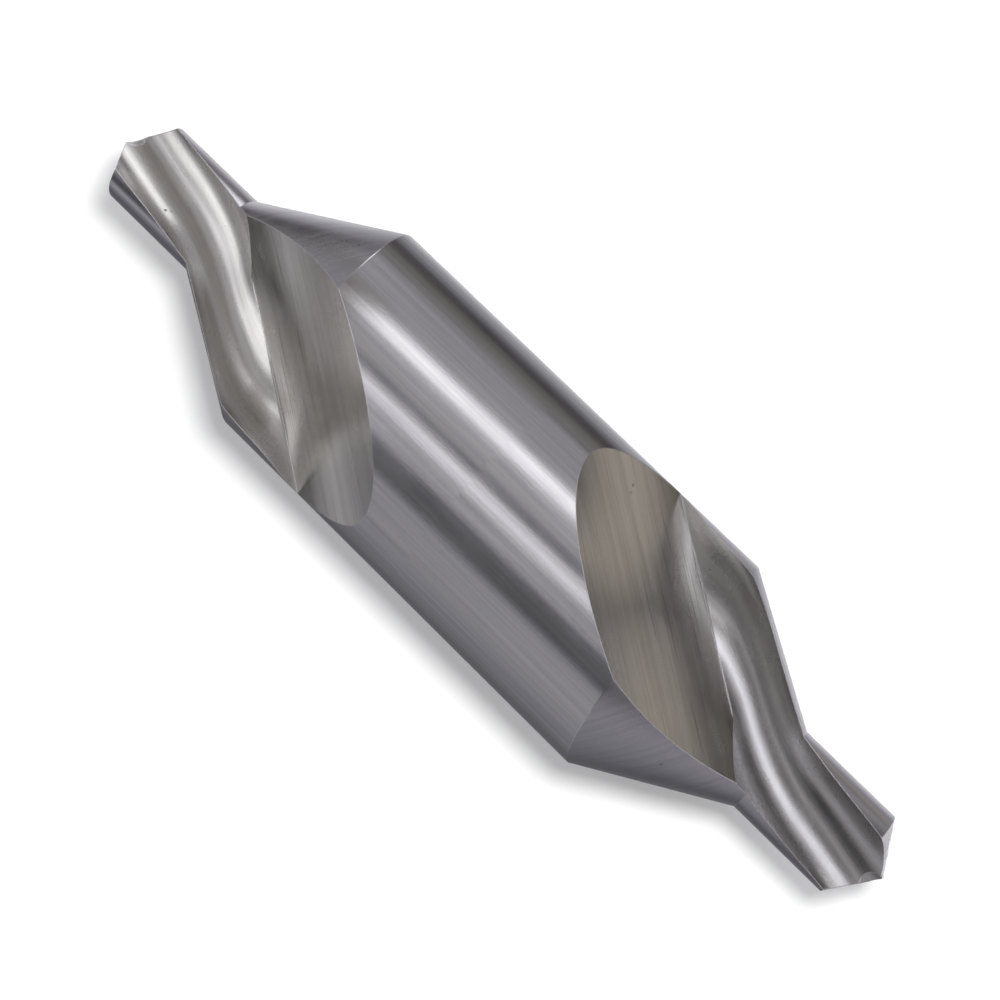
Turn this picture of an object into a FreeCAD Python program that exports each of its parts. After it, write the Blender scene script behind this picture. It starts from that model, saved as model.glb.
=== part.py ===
import FreeCAD, Part
import math
import os
import Sketcher
from FreeCAD import Placement, Rotation, Vector

# Double-ended centre drill (combined drill and countersink), one piece of ground high-speed steel.
# The drill's axis is X, the origin is at the middle, and one pair of flutes faces +Z and -Z.
# Angles round the axis are measured from +Z towards +Y.

os.makedirs("parts", exist_ok=True)
doc = FreeCAD.newDocument("CentreDrill")

# Driving dimensions, in millimetres and degrees
sizes = [
    ("bodyDiameter", 20, "ground shank"),
    ("overallLength", 80, "point to point"),
    ("pilotDiameter", 8, "nominal size of the drill"),
    ("pilotLength", 11.1, "point to countersink"),
    ("countersinkAngle", 60, "included angle of the cone"),
    ("pointAngle", 118, "included angle of the point"),
    ("reliefStart", 45, "angle at which the lands begin to fall away"),
    ("reliefSweep", 155, "angle over which the lands are backed off"),
    ("reliefOffset", 0.7, "offset of the backing-off centre from the drill's axis"),
    ("lipStart", 30, "angle of the lip, where the point begins to fall away"),
    ("lipSweep", 155, "angle over which the point is backed off"),
    ("lipTilt", 6, "tilt of the point's grinding axis"),
    ("hollowBack", 28.7, "point to the deepest section of the heel hollow"),
    ("hollowSkew", 33, "angle between the hollow's wheel and the drill's axis"),
    ("wheelRadius", 80, "grinding wheel of the heel hollow"),
    ("wheelArc", 60, "arc of the wheel's rim that can meet the drill"),
    ("rimRadius", 23.6, "rounding of the wheel's rim"),
    ("rimAcross", 21.2, "centre of that rounding, across the wheel"),
    ("rimHeight", 20.3, "centre of that rounding, above the drill's axis"),
    ("rimEdge", 7.8, "corner of the wheel, across the wheel"),
    ("rimFlank", 65, "slope of the wheel's free side"),
    ("gashRadius", 1.2, "small wheel that thins the web at the point"),
    ("gashTilt", 35, "slope of that wheel's path to the drill's axis"),
    ("gashFloor", -0.6, "lowest point of its path, above the axis at the point"),
    ("gashAcross", 1.1, "distance of its path from the drill's axis, to the heel side"),
    ("clearance", 3, "reach of each cut past the blank"),
]
sheet = doc.addObject("Spreadsheet::Sheet", "Sizes")
for row, (alias, number, meaning) in enumerate(sizes, start=1):
    sheet.set(f"A{row}", meaning)
    sheet.set(f"B{row}", str(number))
    sheet.setAlias(f"B{row}", alias)

# Stations of the flute: distance back from the point, centre of its round floor across and
# above the axis, radius, and where the floor starts and ends, as angles from straight below
# the centre. The floor starts at the heel hollow's corner and ends past the cutting edge. The
# last three stations lie outside the shank and keep the loft straight where it leaves it.
fluteStations = [
    (-3, -2.6, 3.1, 3.65, -48, 125),
    (1, -1.9, 3.58, 3.6, -58, 115),
    (5, -1.08, 3.91, 3.5, -68, 103),
    (9, -0.21, 4.05, 3.45, -75, 93),
    (13, 1.34, 4.14, 3.45, -70, 80),
    (17, 3.46, 4.46, 3.5, -33, 85),
    (21, 4.95, 5.05, 4, -12, 90),
    (25, 4.85, 5.6, 5, 23, 75),
    (29, 5.26, 5.43, 6, 44, 65),
    (33, 7.86, 5.94, 6, 44, 65),
    (37, 10.46, 6.45, 6, 44, 65),
    (41, 13.06, 6.96, 6, 44, 65),
]
columns = (("C", "Back"), ("D", "Across"), ("E", "Up"), ("F", "Radius"), ("G", "Start"), ("H", "End"))
for number, station in enumerate(fluteStations):
    for (column, name), size in zip(columns, station):
        sheet.set(f"{column}{number + 1}", str(size))
        sheet.setAlias(f"{column}{number + 1}", f"flute{name}{number}x")
doc.recompute()

# Derived lengths, as expressions on the sheet
bodyRadius = "Sizes.bodyDiameter / 2"
pilotRadius = "Sizes.pilotDiameter / 2"
halfLength = "Sizes.overallLength / 2"
coneFoot = f"({halfLength} - Sizes.pilotLength)"
coneSlope = "tan(Sizes.countersinkAngle / 2)"
coneTop = f"({coneFoot} - ({bodyRadius} - {pilotRadius}) / {coneSlope})"
pointSlope = "tan(Sizes.pointAngle / 2)"
pointBase = f"({halfLength} - {pilotRadius} / {pointSlope})"
beyond = f"({halfLength} + Sizes.clearance)"
aboveBody = f"({bodyRadius} + Sizes.clearance)"
abovePilot = f"({pilotRadius} + Sizes.clearance)"

body = doc.addObject("PartDesign::Body", "centre_drill")
body.Label = "centre_drill"


def valueOf(expression):
    result = sheet.evalExpression(expression)
    return float(getattr(result, "Value", result))


def originPart(role):
    return next(item for item in body.Origin.OriginFeatures if item.Role == role)


def newSketch(name, role):
    sketch = body.newObject("Sketcher::SketchObject", name)
    sketch.AttachmentSupport = (originPart(role), [""])
    sketch.MapMode = "FlatFace"
    return sketch


# Holds a point of a sketch's geometry at a pair of expressions from the sketch's origin
def pin(sketch, geometry, point, place):
    for kind, axis, expression in zip(("DistanceX", "DistanceY"), (-2, -1), place):
        number = valueOf(expression)
        if expression == "0":
            sketch.addConstraint(Sketcher.Constraint("PointOnObject", geometry, point, axis))
        else:
            index = sketch.addConstraint(Sketcher.Constraint(kind, -1, 1, geometry, point, number))
            sketch.setExpression(f"Constraints[{index}]", expression)


def vectorOf(place):
    return Vector(valueOf(place[0]), valueOf(place[1]), 0)


# Closed outline of straight lines through corners, each a pair of expressions
def addOutline(sketch, corners):
    points = [vectorOf(corner) for corner in corners]
    count = len(points)
    for number, start in enumerate(points):
        sketch.addGeometry(Part.LineSegment(start, points[(number + 1) % count]), False)
    for number in range(count):
        sketch.addConstraint(Sketcher.Constraint("Coincident", number, 2, (number + 1) % count, 1))
    for number, corner in enumerate(corners):
        pin(sketch, number, 1, corner)


# Construction line for a feature to turn about
def addAxis(sketch, start, end):
    line = sketch.addGeometry(Part.LineSegment(vectorOf(start), vectorOf(end)), True)
    pin(sketch, line, 1, start)
    pin(sketch, line, 2, end)
    return (sketch, ["Axis0"])


# Turns a sketch about the drill's axis, so that its upper side lies at an angle from +Z
def turnSketch(sketch, angle):
    sketch.AttachmentOffset = Placement(Vector(), Rotation(Vector(-1, 0, 0), 1))
    sketch.setExpression("AttachmentOffset.Rotation.Angle", angle)
    sketch.setExpression("AttachmentOffset.Rotation.Axis.x", "-1")


def reportCut(feature, before):
    doc.recompute()
    removed = before.Shape.Volume - feature.Shape.Volume
    if removed <= 0:
        raise RuntimeError(f"{feature.Name} cuts nothing")
    print(f"{feature.Name} removes {removed:.1f} mm3")


# Turned blank: shank, two countersink cones, two pilots and two points
blankSketch = newSketch("BlankSketch", "XZ_Plane")
addOutline(blankSketch, [
    (f"-{halfLength}", "0"),
    (f"-{pointBase}", pilotRadius),
    (f"-{coneFoot}", pilotRadius),
    (f"-{coneTop}", bodyRadius),
    (coneTop, bodyRadius),
    (coneFoot, pilotRadius),
    (pointBase, pilotRadius),
    (halfLength, "0"),
])
blank = body.newObject("PartDesign::Revolution", "Blank")
blank.Profile = blankSketch
blank.ReferenceAxis = (blankSketch, ["H_Axis"])
blank.Angle = 360
doc.recompute()

# Backed-off lands: the end's own profile, turned about a centre offset from the axis
reliefSketch = newSketch("ReliefSketch", "XZ_Plane")
turnSketch(reliefSketch, "Sizes.reliefStart")
addOutline(reliefSketch, [
    (f"{coneFoot} - ({aboveBody} - {pilotRadius}) / {coneSlope}", aboveBody),
    (coneFoot, pilotRadius),
    (beyond, pilotRadius),
    (beyond, aboveBody),
])
relief = body.newObject("PartDesign::Groove", "LandRelief")
relief.Profile = reliefSketch
relief.ReferenceAxis = addAxis(reliefSketch, ("0", "Sizes.reliefOffset"), (bodyRadius, "Sizes.reliefOffset"))
relief.setExpression("Angle", "Sizes.reliefSweep")
relief.Reversed = True
reportCut(relief, blank)

# Backed-off point: its cone, turned about an axis through the tip that leans towards the lip
lipSketch = newSketch("LipSketch", "XZ_Plane")
turnSketch(lipSketch, "Sizes.lipStart")
addOutline(lipSketch, [
    (halfLength, "0"),
    (f"{halfLength} - {abovePilot} / {pointSlope}", abovePilot),
    (beyond, abovePilot),
    (beyond, "0"),
])
lipAxisEnd = (f"{halfLength} - {bodyRadius} * cos(Sizes.lipTilt)", f"{bodyRadius} * sin(Sizes.lipTilt)")
lip = body.newObject("PartDesign::Groove", "LipRelief")
lip.Profile = lipSketch
lip.ReferenceAxis = addAxis(lipSketch, (halfLength, "0"), lipAxisEnd)
lip.setExpression("Angle", "Sizes.lipSweep")
reportCut(lip, relief)

# Heel hollow: the wide, nearly flat face that opens the countersink's chip space.
# The wheel runs skewed to the drill, and the sketch is a section across its rounded rim.
hollowSketch = newSketch("HollowSketch", "XZ_Plane")
hollowSketch.AttachmentOffset = Placement(Vector(), Rotation(Vector(0, 1, 0), 1))
hollowSketch.setExpression("AttachmentOffset.Base.x", f"{halfLength} - Sizes.hollowBack")
hollowSketch.setExpression("AttachmentOffset.Rotation.Angle", "90 - Sizes.hollowSkew")
doc.recompute()
rimCentre = vectorOf(("Sizes.rimAcross", "Sizes.rimHeight"))
rimRadius = valueOf("Sizes.rimRadius")
rimEdge = valueOf("Sizes.rimEdge")
rimFlank = math.radians(valueOf("Sizes.rimFlank"))
edgeAngle = math.pi + math.acos((rimCentre.x - rimEdge) / rimRadius)
topAngle = math.pi + math.asin((rimCentre.y - valueOf(aboveBody)) / rimRadius)
rim = Part.ArcOfCircle(Part.Circle(rimCentre, Vector(0, 0, 1), rimRadius), topAngle, edgeAngle)
rimTop = rim.value(rim.FirstParameter)
rimCorner = rim.value(rim.LastParameter)
flankTop = Vector(rimEdge + (rimTop.y - rimCorner.y) / math.tan(rimFlank), rimTop.y, 0)
hollowSketch.addGeometry(rim, False)
hollowSketch.addGeometry(Part.LineSegment(rimCorner, flankTop), False)
hollowSketch.addGeometry(Part.LineSegment(flankTop, rimTop), False)
for number in range(3):
    hollowSketch.addConstraint(Sketcher.Constraint("Coincident", number, 2, (number + 1) % 3, 1))
hollowSketch.addConstraint(Sketcher.Constraint("Horizontal", 2))
pin(hollowSketch, 0, 3, ("Sizes.rimAcross", "Sizes.rimHeight"))
held = (
    (Sketcher.Constraint("Radius", 0, rimRadius), "Sizes.rimRadius"),
    (Sketcher.Constraint("DistanceX", -1, 1, 0, 2, rimEdge), "Sizes.rimEdge"),
    (Sketcher.Constraint("DistanceY", -1, 1, 2, 1, rimTop.y), aboveBody),
    (Sketcher.Constraint("Angle", 1, rimFlank), "Sizes.rimFlank"),
)
for constraint, expression in held:
    index = hollowSketch.addConstraint(constraint)
    hollowSketch.setExpression(f"Constraints[{index}]", expression)
hollow = body.newObject("PartDesign::Groove", "HeelHollow")
hollow.Profile = hollowSketch
hollow.ReferenceAxis = addAxis(hollowSketch, ("0", "Sizes.wheelRadius"), (bodyRadius, "Sizes.wheelRadius"))
hollow.Midplane = True
hollow.setExpression("Angle", "Sizes.wheelArc")
reportCut(hollow, lip)

# Flute: a round floor lofted through its stations and open above, helical along the pilot,
# then straight and rising through the countersink until it leaves the shank
fluteSketches = []
for number in range(len(fluteStations)):
    back, across, up, radius, start, end = (f"Sizes.flute{name}{number}x" for _, name in columns)
    sketch = newSketch(f"FluteStation{number}", "YZ_Plane")
    sketch.setExpression("AttachmentOffset.Base.z", f"{halfLength} - {back}")
    heel = (f"{across} + {radius} * sin({start})", f"{up} - {radius} * cos({start})")
    rake = (f"{across} + {radius} * sin({end})", f"{up} - {radius} * cos({end})")
    rakeTop = (rake[0], aboveBody)
    heelTop = (heel[0], aboveBody)
    floor = Part.Circle(vectorOf((across, up)), Vector(0, 0, 1), valueOf(radius))
    turns = [math.radians(valueOf(turn)) - math.pi / 2 for turn in (start, end)]
    sketch.addGeometry(Part.ArcOfCircle(floor, turns[0], turns[1]), False)
    for first, second in ((rake, rakeTop), (rakeTop, heelTop), (heelTop, heel)):
        sketch.addGeometry(Part.LineSegment(vectorOf(first), vectorOf(second)), False)
    for line in range(4):
        sketch.addConstraint(Sketcher.Constraint("Coincident", line, 2, (line + 1) % 4, 1))
    pin(sketch, 0, 1, heel)
    pin(sketch, 0, 2, rake)
    pin(sketch, 1, 2, rakeTop)
    pin(sketch, 2, 2, heelTop)
    index = sketch.addConstraint(Sketcher.Constraint("Radius", 0, valueOf(radius)))
    sketch.setExpression(f"Constraints[{index}]", radius)
    fluteSketches.append(sketch)
doc.recompute()
flute = body.newObject("PartDesign::SubtractiveLoft", "Flute")
flute.Profile = fluteSketches[0]
flute.Sections = fluteSketches[1:]
reportCut(flute, hollow)

# Web gash: a small wheel thins the web on the heel side, running down to the point
gashSketch = newSketch("GashSketch", "YZ_Plane")
gashSketch.AttachmentOffset = Placement(Vector(), Rotation(Vector(1, 0, 0), 1))
gashSketch.setExpression("AttachmentOffset.Base.z", halfLength)
gashSketch.setExpression("AttachmentOffset.Rotation.Angle", "Sizes.gashTilt")
gashCentre = ("-Sizes.gashAcross", "Sizes.gashFloor + Sizes.gashRadius")
gashWheel = Part.Circle(vectorOf(gashCentre), Vector(0, 0, 1), valueOf("Sizes.gashRadius"))
gashSketch.addGeometry(gashWheel, False)
pin(gashSketch, 0, 3, gashCentre)
index = gashSketch.addConstraint(Sketcher.Constraint("Radius", 0, gashWheel.Radius))
gashSketch.setExpression(f"Constraints[{index}]", "Sizes.gashRadius")
gash = body.newObject("PartDesign::Pocket", "WebGash")
gash.Profile = gashSketch
gash.Midplane = True
gash.setExpression("Length", pilotRadius)
reportCut(gash, flute)

# The same cuts on the other side and on the other end: half turns about X and about Z
fourFlutes = body.newObject("PartDesign::MultiTransform", "FourFlutes")
fourFlutes.Originals = [relief, lip, hollow, flute, gash]
patterns = []
for name, role in (("SecondFlute", "X_Axis"), ("SecondEnd", "Z_Axis")):
    pattern = doc.addObject("PartDesign::PolarPattern", name)
    pattern.Axis = (originPart(role), [""])
    pattern.Angle = 360
    pattern.Occurrences = 2
    patterns.append(pattern)
fourFlutes.Transformations = patterns
body.Tip = fourFlutes
reportCut(fourFlutes, gash)

failed = [item.Name for item in doc.Objects if {"Invalid", "Error"} & set(item.State)]
shape = body.Shape
if failed or shape.isNull() or not shape.isValid() or len(shape.Solids) != 1:
    raise RuntimeError(f"failed {failed}, solids {len(shape.Solids)}")
shape.exportStep("parts/centre_drill.step")
print(f"centre_drill {shape.Volume:.1f} mm3, {len(shape.Faces)} faces, {shape.BoundBox}")
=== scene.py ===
import math
import bmesh
import bpy
import numpy as np
from mathutils import Matrix, Vector


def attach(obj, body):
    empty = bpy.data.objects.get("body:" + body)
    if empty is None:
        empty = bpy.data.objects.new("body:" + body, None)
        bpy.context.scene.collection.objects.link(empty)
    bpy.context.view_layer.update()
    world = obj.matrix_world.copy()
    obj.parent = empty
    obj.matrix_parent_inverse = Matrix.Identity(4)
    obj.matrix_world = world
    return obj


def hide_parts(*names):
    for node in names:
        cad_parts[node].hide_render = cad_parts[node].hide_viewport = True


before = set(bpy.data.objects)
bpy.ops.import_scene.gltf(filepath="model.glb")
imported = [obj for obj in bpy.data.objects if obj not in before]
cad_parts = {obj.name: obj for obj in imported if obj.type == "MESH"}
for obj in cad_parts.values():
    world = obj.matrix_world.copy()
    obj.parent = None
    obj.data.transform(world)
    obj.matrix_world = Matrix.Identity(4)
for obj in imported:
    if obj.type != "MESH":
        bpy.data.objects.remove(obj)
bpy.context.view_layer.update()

mm = 0.001


# one function turns the hex colours to linear
def toLinear(hexColour):
    parts = [int(hexColour[i:i + 2], 16) / 255 for i in (1, 3, 5)]
    return [c / 12.92 if c <= 0.04045 else ((c + 0.055) / 1.055) ** 2.4 for c in parts] + [1.0]


# adds a node, sets its properties and inputs, links what comes as a socket
def addNode(tree, kind, inputs=None, **settings):
    node = tree.nodes.new(kind)
    for key, value in settings.items():
        setattr(node, key, value)
    for key, value in (inputs or {}).items():
        if isinstance(value, bpy.types.NodeSocket):
            tree.links.new(value, node.inputs[key])
        else:
            node.inputs[key].default_value = value
    return node


def newMaterial(name):
    material = bpy.data.materials.new(name)
    material.use_nodes = True
    material.node_tree.nodes.clear()
    return material, material.node_tree


camera = {
    "place": (23.6, 0, 147.9),   # mm from the middle of the drill
    "roll": 44.22,               # how far the drill leans down to the right, degrees
    "lens": 72,                  # mm on a 36 mm sensor
    "shift": (0.0114, -0.005),
}


def addCamera(spec):
    data = bpy.data.cameras.new("camera")
    data.lens = spec["lens"]
    data.sensor_width = 36
    data.shift_x, data.shift_y = spec["shift"]
    data.clip_start = 0.01
    data.clip_end = 20
    back = Vector(spec["place"]).normalized()
    across = Vector((0, 1, 0)).cross(back)
    turn = math.radians(spec["roll"])
    right = across * math.cos(turn) + Vector((0, 1, 0)) * math.sin(turn)
    up = back.cross(right)
    place = Matrix((right, up, back)).transposed().to_4x4()
    place.translation = Vector(spec["place"]) * mm
    holder = bpy.data.objects.new("camera", data)
    holder.matrix_world = place
    bpy.context.scene.collection.objects.link(holder)
    bpy.context.scene.camera = holder


addCamera(camera)
bpy.context.scene.view_settings.view_transform = "Standard"
print("camera set")

# the ground surfaces, in mm and degrees, for the end at +X and its upper flute
ground = {
    "shankRadius": 10, "pilotRadius": 4, "tip": 40, "coneFoot": 28.9, "coneHalf": 30,
    "pointHalf": 59, "lipAngle": 30, "lipTilt": 6, "landAngle": 45, "landOffset": 0.7,
    "hollowAt": 11.3, "hollowSkew": 33, "wheel": 80, "rim": 23.6, "rimAcross": 21.2,
    "rimHeight": 20.3, "rimEdge": 7.8, "rimFlank": 65,
    "gashRadius": 1.2, "gashTilt": 35, "gashFloor": -0.6, "gashAcross": 1.1,
    # flute floor: distance back from the point, centre across and up, radius
    "flute": ((-3, -2.6, 3.1, 3.65), (1, -1.9, 3.58, 3.6), (5, -1.08, 3.91, 3.5), (9, -0.21, 4.05, 3.45),
              (13, 1.34, 4.14, 3.45), (17, 3.46, 4.46, 3.5), (21, 4.95, 5.05, 4), (25, 4.85, 5.6, 5),
              (29, 5.26, 5.43, 6), (33, 7.86, 5.94, 6), (37, 10.46, 6.45, 6)),
}
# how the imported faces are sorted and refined, in mm
sorting = {
    "facing": 1.2,               # what a face turned from its surface adds, against mm off it
    "ridgeEnd": 24,              # past this the hollow and the flute floor nearly touch
    "doubt": (0.02, 0.12),       # what the hollow must win by, before and past the ridge's end
    "finest": 0.7,               # longest edge of the refined mesh
    "rounds": 8,                 # at most this many halvings
}


# smooth curve through evenly spaced values
def alongFlute(x, column):
    rows = np.array(ground["flute"])
    stations = ground["tip"] - rows[:, 0]
    values = rows[:, column]
    step = stations[0] - stations[1]
    place = np.clip((stations[0] - x) / step, 0, len(rows) - 1.001)   # stays short of the last row
    i = place.astype(int)
    t = place - i
    last = len(rows) - 1
    p0, p1, p2, p3 = (values[np.clip(i + k, 0, last)] for k in (-1, 0, 1, 2))
    return 0.5 * (2 * p1 + (p2 - p0) * t + (2 * p0 - 5 * p1 + 4 * p2 - p3) * t ** 2
                  + (3 * p1 - p0 - 3 * p2 + p3) * t ** 3)


# each surface gives a distance in mm that is positive in the air
def coneAbout(p, tip, direction, half):
    d = np.array(direction) / np.linalg.norm(direction)
    v = p - np.array(tip)
    along = v @ d
    out = np.linalg.norm(v - np.outer(along, d), axis=1)
    return out * math.cos(half) - along * math.sin(half)


def landPlace(p):
    turn, offset = math.radians(ground["landAngle"]), ground["landOffset"]
    out = np.hypot(p[:, 1] - offset * math.sin(turn), p[:, 2] - offset * math.cos(turn))
    return out, ground["pilotRadius"] - offset


def hollowPlace(p):
    skew = math.radians(ground["hollowSkew"])
    x = p[:, 0] - ground["hollowAt"]
    a = x * math.sin(skew) + p[:, 1] * math.cos(skew)
    b = x * math.cos(skew) - p[:, 1] * math.sin(skew)
    return a, ground["wheel"] - np.hypot(b, ground["wheel"] - p[:, 2])


def onShank(p):
    return np.hypot(p[:, 1], p[:, 2]) - ground["shankRadius"]


def onCone(p):
    half = math.radians(ground["coneHalf"])
    out = np.hypot(p[:, 1], p[:, 2]) - ground["pilotRadius"]
    return out * math.cos(half) - (ground["coneFoot"] - p[:, 0]) * math.sin(half)


def onPilot(p):
    return np.hypot(p[:, 1], p[:, 2]) - ground["pilotRadius"]


def onLandCone(p):
    half = math.radians(ground["coneHalf"])
    out, radius = landPlace(p)
    return (out - radius) * math.cos(half) - (ground["coneFoot"] - p[:, 0]) * math.sin(half)


def onLandPilot(p):
    out, radius = landPlace(p)
    return out - radius


def onPoint(p):
    return coneAbout(p, (ground["tip"], 0, 0), (-1, 0, 0), math.radians(ground["pointHalf"]))


def onLip(p):
    tilt, turn = math.radians(ground["lipTilt"]), math.radians(ground["lipAngle"])
    leaning = (-math.cos(tilt), math.sin(tilt) * math.sin(turn), math.sin(tilt) * math.cos(turn))
    return coneAbout(p, (ground["tip"], 0, 0), leaning, math.radians(ground["pointHalf"]) - tilt)


def onHollow(p):
    a, h = hollowPlace(p)
    return ground["rim"] - np.hypot(a - ground["rimAcross"], h - ground["rimHeight"])


def onFlank(p):
    a, h = hollowPlace(p)
    slope = math.radians(ground["rimFlank"])
    low = ground["rimHeight"] - math.sqrt(ground["rim"] ** 2 - (ground["rimAcross"] - ground["rimEdge"]) ** 2)
    return (h - low) * math.cos(slope) - (a - ground["rimEdge"]) * math.sin(slope)


def onFlute(p):
    across, up, radius = (alongFlute(p[:, 0], column) for column in (1, 2, 3))
    return radius - np.hypot(p[:, 1] - across, p[:, 2] - up)


def onGash(p):
    tilt = math.radians(ground["gashTilt"])
    height = ground["gashFloor"] + ground["gashRadius"]
    fromLine = (p[:, 0] - ground["tip"] - height * math.sin(tilt)) * math.sin(tilt) \
        + (p[:, 2] - height * math.cos(tilt)) * math.cos(tilt)
    return ground["gashRadius"] - np.hypot(p[:, 1] + ground["gashAcross"], fromLine)


surfaces = (("shank", onShank), ("lands", onCone), ("lands", onPilot), ("lands", onLandCone),
            ("lands", onLandPilot), ("point", onPoint), ("point", onLip), ("hollow", onHollow),
            ("flute", onFlank), ("flute", onFlute), ("flute", onGash))
regions = ("shank", "lands", "hollow", "flute", "point")


def slopeOf(surface, p, reach=0.01):
    parts = []
    for axis in range(3):
        nudge = np.zeros(3)
        nudge[axis] = reach
        parts.append(surface(p + nudge) - surface(p - nudge))
    slope = np.array(parts).T
    return slope / np.maximum(np.linalg.norm(slope, axis=1), 1e-9)[:, None]


# the two ends and the two flutes are one shape, half turns apart
def halfTurns(p, lower):
    turn = np.ones_like(p)
    turn[p[:, 0] < 0] = (-1, -1, 1)
    if lower:
        turn *= (1, -1, -1)
    return turn


# mm along and across the wheel's path on each surface, for the grinding marks
wheelPath = {
    "pointRadius": 3,            # where the marks round the point are true to scale
    "fluteRadius": 3.5,
    "fluteSweep": 1.15,          # the helical floor is this much longer than its run along X
    "apart": (31, 57),           # shifts the marks from surface to surface, upper to lower
}


def aroundAxis(p):
    return p[:, 0], np.arctan2(p[:, 1], p[:, 2]) * np.maximum(np.hypot(p[:, 1], p[:, 2]), 1)


def aroundPoint(p):
    return np.arctan2(p[:, 1], p[:, 2]) * wheelPath["pointRadius"], np.hypot(p[:, 1], p[:, 2])


def acrossWheel(p):
    skew = math.radians(ground["hollowSkew"])
    a, h = hollowPlace(p)
    along = (p[:, 0] - ground["hollowAt"]) * math.cos(skew) - p[:, 1] * math.sin(skew)
    return along, np.arctan2(ground["rimAcross"] - a, ground["rimHeight"] - h) * ground["rim"]


def alongFloor(p):
    across, up = (alongFlute(p[:, 0], column) for column in (1, 2))
    around = np.arctan2(p[:, 1] - across, up - p[:, 2])
    return p[:, 0] * wheelPath["fluteSweep"], around * wheelPath["fluteRadius"]


paths = {"shank": aroundAxis, "lands": aroundAxis, "point": aroundPoint, "hollow": acrossWheel,
         "flute": alongFloor}


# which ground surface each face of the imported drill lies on
def sortFaces(mesh):
    corners = np.array([mesh.vertices[v].co for face in mesh.polygons for v in face.vertices])
    corners = corners.reshape(-1, 3, 3) / mm
    centres = corners.mean(axis=1)
    facing = np.cross(corners[:, 1] - corners[:, 0], corners[:, 2] - corners[:, 0])
    facing /= np.maximum(np.linalg.norm(facing, axis=1), 1e-12)[:, None]
    best = np.full(len(corners), 1e9)
    choice = np.zeros(len(corners), int)
    for number, (region, surface) in enumerate(surfaces):
        for lower in (0, 1):
            turn = halfTurns(centres, lower)
            off = np.max([np.abs(surface(corners[:, k] * turn)) for k in range(3)], axis=0)
            agree = (slopeOf(surface, centres * turn) * turn * facing).sum(axis=1)
            score = off + sorting["facing"] * (1 - agree)
            if region == "hollow":
                near, past = sorting["doubt"]
                score = score + np.where(np.abs(centres[:, 0]) > sorting["ridgeEnd"], past, near)
            better = score < best
            best[better] = score[better]
            choice[better] = number * 2 + lower
    return choice


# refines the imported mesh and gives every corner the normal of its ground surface
def buildDrill(node, materials):
    mesh = node.data.copy()
    mesh.name = "drill"
    mesh.materials.clear()
    for material in materials:
        mesh.materials.append(material)
    choice = sortFaces(mesh)
    form = bmesh.new()
    form.from_mesh(mesh)
    form.faces.ensure_lookup_table()
    for face, number in zip(form.faces, choice):
        face.material_index = int(number)
    for _ in range(sorting["rounds"]):
        long = [edge for edge in form.edges if edge.calc_length() > sorting["finest"] * mm]
        if not long:
            break
        bmesh.ops.subdivide_edges(form, edges=long, cuts=1)
        bmesh.ops.triangulate(form, faces=[face for face in form.faces if len(face.verts) > 3])
    form.to_mesh(mesh)
    form.free()
    count = len(mesh.loops)
    places = np.zeros(len(mesh.vertices) * 3)
    mesh.vertices.foreach_get("co", places)
    vertexOf = np.zeros(count, int)
    mesh.loops.foreach_get("vertex_index", vertexOf)
    places = places.reshape(-1, 3)[vertexOf] / mm
    chosen = np.repeat([face.material_index for face in mesh.polygons], 3)
    towards = np.repeat([face.center.x for face in mesh.polygons], 3)
    normals = np.zeros((count, 3))
    marks = np.zeros((count, 2))
    for number, (region, surface) in enumerate(surfaces):
        for lower in (0, 1):
            those = chosen == number * 2 + lower
            if those.any():
                p = places[those]
                end = np.sign(towards[those])[:, None] * np.array([1, 0, 0])
                turn = halfTurns(end, lower)
                normals[those] = slopeOf(surface, p * turn) * turn
                shift = number * wheelPath["apart"][0] + lower * wheelPath["apart"][1]
                marks[those] = np.array(paths[region](p * turn)).T + shift
    mesh.uv_layers.new(name="wheelPath").data.foreach_set("uv", marks.astype(np.float32).ravel())
    for face in mesh.polygons:
        face.material_index = regions.index(surfaces[face.material_index // 2][0])
        face.use_smooth = True
    mesh.normals_split_custom_set([Vector(n) for n in normals])
    drill = bpy.data.objects.new("drill", mesh)
    bpy.context.scene.collection.objects.link(drill)
    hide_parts("centre_drill")
    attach(drill, "root")
    return drill


# every face is high-speed steel left bright from the wheel: the marks of its grit run along the
# wheel's path, so highlights spread across them. Real grit is about 0.1 mm, drawn here at 0.14 to 0.18.
# fine and coarse marks: mm along and across, height in mm
steel = {
    "shank": {"colour": "#c9c7cb", "dark": "#b9b7bc", "roughness": 0.21, "spread": 0.0, "uneven": 0.12,
              "fine": (0.24, 0.15, 0.003), "coarse": (40, 0.6, 0.0022), "scratch": 0.0},
    "lands": {"colour": "#bcbac0", "dark": "#b4b1b8", "roughness": 0.26, "spread": 0.0, "uneven": 0.12,
              "fine": (0.4, 0.18, 0.0018), "coarse": (9, 0.5, 0.0015), "scratch": 0.0},
    "hollow": {"colour": "#cccac7", "dark": "#bfbcb9", "roughness": 0.25, "spread": 0.3, "uneven": 0.10,
               "fine": (4, 0.15, 0.0016), "coarse": (30, 0.7, 0.0012), "scratch": 0.6},
    "flute": {"colour": "#cdcbcb", "dark": "#bfbcbb", "roughness": 0.27, "spread": 0.5, "uneven": 0.10,
              "fine": (1.2, 0.14, 0.0022), "coarse": (18, 0.6, 0.001), "scratch": 0.0},
    "point": {"colour": "#c6c4ca", "dark": "#b2b0b6", "roughness": 0.28, "spread": 0.5, "uneven": 0.10,
              "fine": (5, 0.16, 0.0012), "coarse": (12, 0.5, 0.0015), "scratch": 0.0},
}
# long dark scratches along the path: mm along and across, how much of the noise shows
scratches = {"size": (14, 0.12), "shows": (0.71, 0.76), "colour": "#4a4644"}
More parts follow.
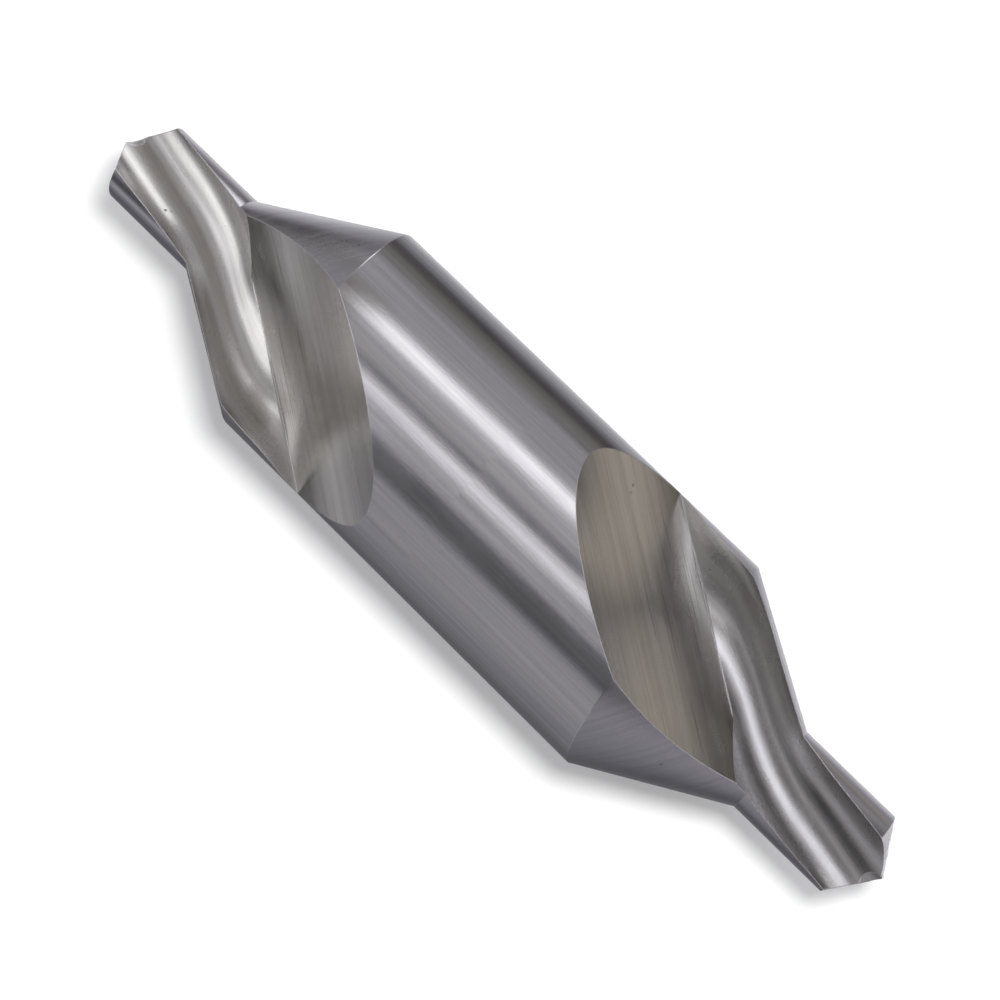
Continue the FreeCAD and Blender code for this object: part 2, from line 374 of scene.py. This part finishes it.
# bare edges lightened in colour, partly real wear and partly a painted highlight for the bright lines along
# the ridges: width in mm, and the cosine of the rounded normal's turn, from none to full
edgeWearAndHighlight = {"width": 0.12, "turned": (0.995, 0.95), "colour": "#dcdadf"}
grain = {
    "cloud": (6, 3),             # mm, slow changes of the roughness
    "cloudRange": (0.3, 0.7),
    "toneRange": (0.3, 0.62),
    "octaves": {"fine": 3, "coarse": 4, "cloud": 3, "scratch": 1},
    "noise": 0.6,
    "quarterTurn": 0.25,         # turns the spread from along the marks to across them
}
nickColour = "#3a3534"
nickCore = 0.4                   # share of a nick's reach that is full depth
# nicks and pits from use: place and reach in mm, how dark, depth in mm
nicks = {
    "shank": (),
    "lands": (((23.1, -5.2, 4.2), 0.16, 0.25, 0.02),),
    "hollow": (((7.7, 7.8, 3.9), 0.13, 0.35, 0.015), ((8.0, 7.3, 4.1), 0.11, 0.3, 0.015),
               ((19.6, -0.6, 4.1), 0.1, 0.25, 0.01)),
    "flute": (((15.8, 7.3, 1.5), 0.13, 0.6, 0.015), ((15.5, 7.2, 1.6), 0.1, 0.6, 0.015),
              ((-33.2, -1.6, 1.5), 0.14, 0.45, 0.02), ((-32.9, -1.4, 1.3), 0.1, 0.4, 0.015)),
    "point": (),
}


def makeGroundSteel(name, spec, pits):
    material, tree = newMaterial(name)
    path = addNode(tree, "ShaderNodeUVMap", uv_map="wheelPath")

    def marks(size, octaves):
        scaled = addNode(tree, "ShaderNodeVectorMath",
                         {0: path.outputs[0], 1: (1 / size[0], 1 / size[1], 1)}, operation="MULTIPLY")
        noise = addNode(tree, "ShaderNodeTexNoise",
                        {"Vector": scaled.outputs[0], "Scale": 1.0, "Detail": grain["octaves"][octaves],
                         "Roughness": grain["noise"]}, noise_dimensions="2D")
        return noise.outputs[0]

    def ramp(value, start, end, low=0.0, high=1.0, **settings):
        return addNode(tree, "ShaderNodeMapRange", {"Value": value, "From Min": start, "From Max": end,
                                                    "To Min": low, "To Max": high}, **settings).outputs[0]

    def mix(share, under, over):
        return addNode(tree, "ShaderNodeMix", {"Factor": share, 6: under, 7: over},
                       data_type="RGBA").outputs[2]

    def bump(height, depth, normal, **settings):
        return addNode(tree, "ShaderNodeBump", {"Height": height, "Distance": depth * mm, "Normal": normal},
                       **settings).outputs[0]

    fine = marks(spec["fine"], "fine")
    coarse = marks(spec["coarse"], "coarse")
    cloud = marks(grain["cloud"], "cloud")
    surface = mix(ramp(coarse, *grain["toneRange"]), toLinear(spec["dark"]), toLinear(spec["colour"]))
    if spec["scratch"]:
        line = ramp(marks(scratches["size"], "scratch"), *scratches["shows"], high=spec["scratch"])
        surface = mix(line, surface, toLinear(scratches["colour"]))
    # edges: where the rounded normal leaves the face's own, the colour is lightened, partly wear and partly a
    # painted highlight
    flat = addNode(tree, "ShaderNodeNewGeometry")
    rounded = addNode(tree, "ShaderNodeBevel", {"Radius": edgeWearAndHighlight["width"] * mm}, samples=4)
    same = addNode(tree, "ShaderNodeVectorMath", {0: rounded.outputs[0], 1: flat.outputs["Normal"]},
                   operation="DOT_PRODUCT")
    surface = mix(ramp(same.outputs["Value"], *edgeWearAndHighlight["turned"]), surface, toLinear(edgeWearAndHighlight["colour"]))
    rough = ramp(cloud, *grain["cloudRange"], low=spec["roughness"] * (1 - spec["uneven"]),
                 high=spec["roughness"] * (1 + spec["uneven"]))
    relief = bump(coarse, spec["coarse"][2], rounded.outputs[0])
    relief = bump(fine, spec["fine"][2], relief)
    place = addNode(tree, "ShaderNodeTexCoord").outputs["Object"]
    for spot, reach, darkness, depth in pits:
        away = addNode(tree, "ShaderNodeVectorMath", {0: place, 1: Vector(spot) * mm}, operation="DISTANCE")
        inside = ramp(away.outputs["Value"], reach * mm, reach * mm * nickCore,
                      interpolation_type="SMOOTHSTEP")
        shade = addNode(tree, "ShaderNodeMath", {0: inside, 1: darkness}, operation="MULTIPLY")
        surface = mix(shade.outputs[0], surface, toLinear(nickColour))
        relief = bump(inside, depth, relief, invert=True)
    shader = addNode(tree, "ShaderNodeBsdfPrincipled", {
        "Base Color": surface, "Metallic": 1.0, "Roughness": rough, "Normal": relief,
        "Anisotropic": spec["spread"]})
    if spec["spread"]:
        along = addNode(tree, "ShaderNodeTangent", direction_type="UV_MAP", uv_map="wheelPath")
        shader.inputs["Anisotropic Rotation"].default_value = grain["quarterTurn"]
        tree.links.new(along.outputs[0], shader.inputs["Tangent"])
    addNode(tree, "ShaderNodeOutputMaterial", {"Surface": shader.outputs["BSDF"]})
    return material


drill = buildDrill(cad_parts["centre_drill"],
                   [makeGroundSteel("groundSteel" + region.title(), steel[region], nicks[region])
                    for region in regions])
print("drill built,", len(drill.data.polygons), "faces")

studio = {
    "room": ("#acacae", 1.0),
    "floor": "#f0f0f0",
    "floorGlow": 0.08,           # glows only for rays that see the floor: camera, glossy and transmission rays
    "floorEdge": 3000,           # mm from the middle to each side
    # lamps: angle from straight up towards +Y, distance, (along, across) in mm, watts
    "strips": (("stripRight", 42, 600, (1600, 155), 0.95), ("stripTop", -4.5, 600, (1600, 125), 0.55),
               ("stripThin", -25, 600, (1600, 24), 0.06)),
    # panels that only the steel sees, glowing sheets that paint reflections in it: angle from, angle to,
    # colour
    "panels": (("darkPanel", -54, -29, "#606062"), ("gapPanel", 4, 11, "#5c5c5e"),
               ("palePanel", 12, 30, "#bcbcbc")),
    "panelAway": 620,            # mm from the drill, just behind the strips
    "panelReach": 800,           # half the length of a panel
    # the floor beside the drill as the steel sees it, painted on glowing cards: a painted reflection with
    # painted shadow and dark bands; mm from its axis and colour
    "rightFloor": ((4, "#f0f0f0"), (12, "#eaeaec"), (16, "#c4c4c8"), (22, "#a0a0a4"), (27, "#767678"),
                   (34, "#3c3a3c"), (43, "#66625f"), (60, "#807d7a"), (100, "#888583")),
    "leftFloor": ((4, "#88888c"), (12, "#6e6e72"), (14, "#69696c"), (16, "#666669"), (22, "#7c7c80"),
                  (34, "#909094"), (45, "#9a9a9e"), (100, "#a0a0a3")),
    "besideFrom": 4,             # mm from the axis where those two cards start
    "besideTo": 900,
    "besideHeight": -9.6,        # just above the floor
    # cards that only the steel sees, glowing sheets that paint highlights and dark reflections in it: azimuth
    # from +X, elevation, distance, (width, height) in mm, colour, strength
    "boxes": (("leftBox", -137, 36, 500, (230, 170), "#ffffff", 1.8),
              ("leftDusk", -127, 6, 500, (340, 180), "#1c1a19", 1),
              ("rightDusk", 43.5, 17, 84, (31, 38), "#060403", 1),
              ("rightFar", 64, 24, 500, (300, 200), "#75695f", 1),
              ("rightPale", 62, 6, 480, (260, 88), "#d6cdc3", 1),
              ("pilotBox", 135, 5, 80, (34, 24), "#ffffff", 1.9),
              ("landBox", -139, -4, 64, (30, 10), "#c8c8cc", 1)),
    # the same, level, and nearly all close to one end, painting highlights and dark reflections in the steel:
    # height, corners in mm, colour, strength
    "flags": (("warmCard", -9.5, ((20, 26), (400, 26), (400, 400), (200, 400)), "#b8b1a8", 1),
              ("coneCard", -9.5, ((-85, 22), (-45, 22), (-45, 42), (-85, 42)), "#1c1a1c", 1),
              ("rightFlag", 51, ((14, -14), (62, -14), (62, 1.5), (14, 4)), "#5a5654", 1),
              ("rightBox", 45, ((14, 17), (62, 3), (62, 23), (14, 40)), "#f6f8ff", 1.9),
              ("edgeFlag", 45, ((32, 24), (64, 24), (64, 60), (32, 60)), "#6a6664", 1),
              ("leftFlag", 27, ((-70, 11), (-21, 9), (-21, 36), (-70, 38)), "#8a8580", 1),
              ("darkFlag", 31, ((24, -65), (70, -65), (70, -26), (24, -26)), "#242223", 1),
              ("ridgeBox", 56, ((-60, -40), (-27, -40), (-27, -9), (-60, -9)), "#ffffff", 1.7)),
    "shadowLamp": ((23.6, 25, 150), 30, 0.2),     # place and size in mm, watts
}


def makeRoom(spec):
    world = bpy.data.worlds.new("room")
    bpy.context.scene.world = world
    world.use_nodes = True
    tree = world.node_tree
    tree.nodes.clear()
    colour, strength = spec["room"]
    sky = addNode(tree, "ShaderNodeBackground", {"Color": toLinear(colour), "Strength": strength})
    addNode(tree, "ShaderNodeOutputWorld", {"Surface": sky.outputs["Background"]})


def makeFloorPaper(spec):
    material, tree = newMaterial("whitePaper")
    paper = addNode(tree, "ShaderNodeBsdfDiffuse", {"Color": toLinear(spec["floor"])})
    path = addNode(tree, "ShaderNodeLightPath")
    seen = addNode(tree, "ShaderNodeMath",
                   {0: path.outputs["Is Camera Ray"], 1: path.outputs["Is Glossy Ray"]},
                   operation="ADD", use_clamp=True)
    seenAll = addNode(tree, "ShaderNodeMath", {0: seen.outputs[0], 1: path.outputs["Is Transmission Ray"]},
                      operation="ADD", use_clamp=True)
    level = addNode(tree, "ShaderNodeMath", {0: seenAll.outputs[0], 1: spec["floorGlow"]},
                    operation="MULTIPLY")
    glow = addNode(tree, "ShaderNodeEmission", {"Color": (1, 1, 1, 1), "Strength": level.outputs[0]})
    both = addNode(tree, "ShaderNodeAddShader", {0: paper.outputs[0], 1: glow.outputs[0]})
    addNode(tree, "ShaderNodeOutputMaterial", {"Surface": both.outputs[0]})
    return material


# a glowing sheet of one colour, for the painted highlights and dark reflections
def makeReflectionCard(name, colour, strength=1.0):
    material, tree = newMaterial(name)
    glow = addNode(tree, "ShaderNodeEmission", {"Color": toLinear(colour), "Strength": strength})
    addNode(tree, "ShaderNodeOutputMaterial", {"Surface": glow.outputs[0]})
    return material


# a glowing card shaded by the distance from the drill's axis: a painted reflection of the floor and its
# shadow
def makeFloorReflectionCard(name, steps):
    material, tree = newMaterial(name)
    place = addNode(tree, "ShaderNodeNewGeometry")
    parts = addNode(tree, "ShaderNodeSeparateXYZ", {0: place.outputs["Position"]})
    away = addNode(tree, "ShaderNodeMath", {0: parts.outputs["Y"]}, operation="ABSOLUTE")
    far = steps[-1][0]
    scaled = addNode(tree, "ShaderNodeMath", {0: away.outputs[0], 1: 1 / (far * mm)}, operation="MULTIPLY",
                     use_clamp=True)
    ramp = addNode(tree, "ShaderNodeValToRGB", {"Fac": scaled.outputs[0]})
    for number, (distance, colour) in enumerate(steps):
        if number < 2:
            stop = ramp.color_ramp.elements[number]
            stop.position = distance / far
        else:
            stop = ramp.color_ramp.elements.new(distance / far)
        stop.color = toLinear(colour)
    glow = addNode(tree, "ShaderNodeEmission", {"Color": ramp.outputs[0], "Strength": 1.0})
    addNode(tree, "ShaderNodeOutputMaterial", {"Surface": glow.outputs[0]})
    return material


def addSheet(name, corners, material):
    mesh = bpy.data.meshes.new(name)
    mesh.from_pydata([Vector(c) * mm for c in corners], [], [list(range(len(corners)))])
    mesh.materials.append(material)
    sheet = bpy.data.objects.new(name, mesh)
    bpy.context.scene.collection.objects.link(sheet)
    return sheet


# a glowing sheet that only the steel sees: a painted reflection
def addReflectionCard(name, corners, material):
    card = addSheet(name, corners, material)
    card.visible_camera = card.visible_diffuse = card.visible_shadow = card.visible_transmission = False
    return card


def addLamp(name, place, size, power, shape="RECTANGLE"):
    data = bpy.data.lights.new(name, "AREA")
    data.shape = shape
    data.size, data.size_y = size[0] * mm, size[1] * mm
    data.energy = power
    holder = bpy.data.objects.new(name, data)
    back = Vector(place).normalized()
    up = back.cross(Vector((1, 0, 0))).normalized()
    matrix = Matrix((up.cross(back), up, back)).transposed().to_4x4()
    matrix.translation = Vector(place) * mm
    holder.matrix_world = matrix
    holder.visible_camera = False
    bpy.context.scene.collection.objects.link(holder)
    return holder


makeRoom(studio)
edge = studio["floorEdge"]
addSheet("floor", [(x * edge, y * edge, -ground["shankRadius"])
                   for x, y in ((-1, -1), (1, -1), (1, 1), (-1, 1))], makeFloorPaper(studio))
for name, angle, distance, size, power in studio["strips"]:
    lean = math.radians(angle)
    addLamp(name, (0, distance * math.sin(lean), distance * math.cos(lean)), size, power)
away, reach = studio["panelAway"], studio["panelReach"]
for name, start, end, colour in studio["panels"]:
    low, high = (math.radians(angle) for angle in (start, end))
    corners = [(x, away * math.sin(lean), away * math.cos(lean)) for x, lean in
               ((-reach, low), (reach, low), (reach, high), (-reach, high))]
    addReflectionCard(name, corners, makeReflectionCard(name, colour))
near, far, height = studio["besideFrom"], studio["besideTo"], studio["besideHeight"]
# two glowing cards just above the floor paint the floor's reflection, its shadow included, into the steel
for name, side in (("rightFloor", 1), ("leftFloor", -1)):
    corners = [(x, side * y, height) for x, y in ((-far, near), (far, near), (far, far), (-far, far))]
    addReflectionCard(name, corners, makeFloorReflectionCard(name, studio[name]))
for name, azimuth, elevation, distance, (width, height), colour, strength in studio["boxes"]:
    turn, lift = math.radians(azimuth), math.radians(elevation)
    out = Vector((math.cos(turn) * math.cos(lift), math.sin(turn) * math.cos(lift), math.sin(lift)))
    across = out.cross(Vector((0, 0, 1))).normalized()
    up = across.cross(out)
    corners = [out * distance + across * width / 2 * i + up * height / 2 * j
               for i, j in ((-1, -1), (1, -1), (1, 1), (-1, 1))]
    addReflectionCard(name, corners, makeReflectionCard(name, colour, strength))
for name, height, corners, colour, strength in studio["flags"]:
    addReflectionCard(name, [(x, y, height) for x, y in corners], makeReflectionCard(name, colour, strength))
# a small lamp beside the camera throws the short soft shadow to the lower left
place, size, power = studio["shadowLamp"]
shadowLamp = addLamp("shadowLamp", place, (size, size), power, shape="DISK")
shadowLamp.visible_glossy = False
print("studio set")
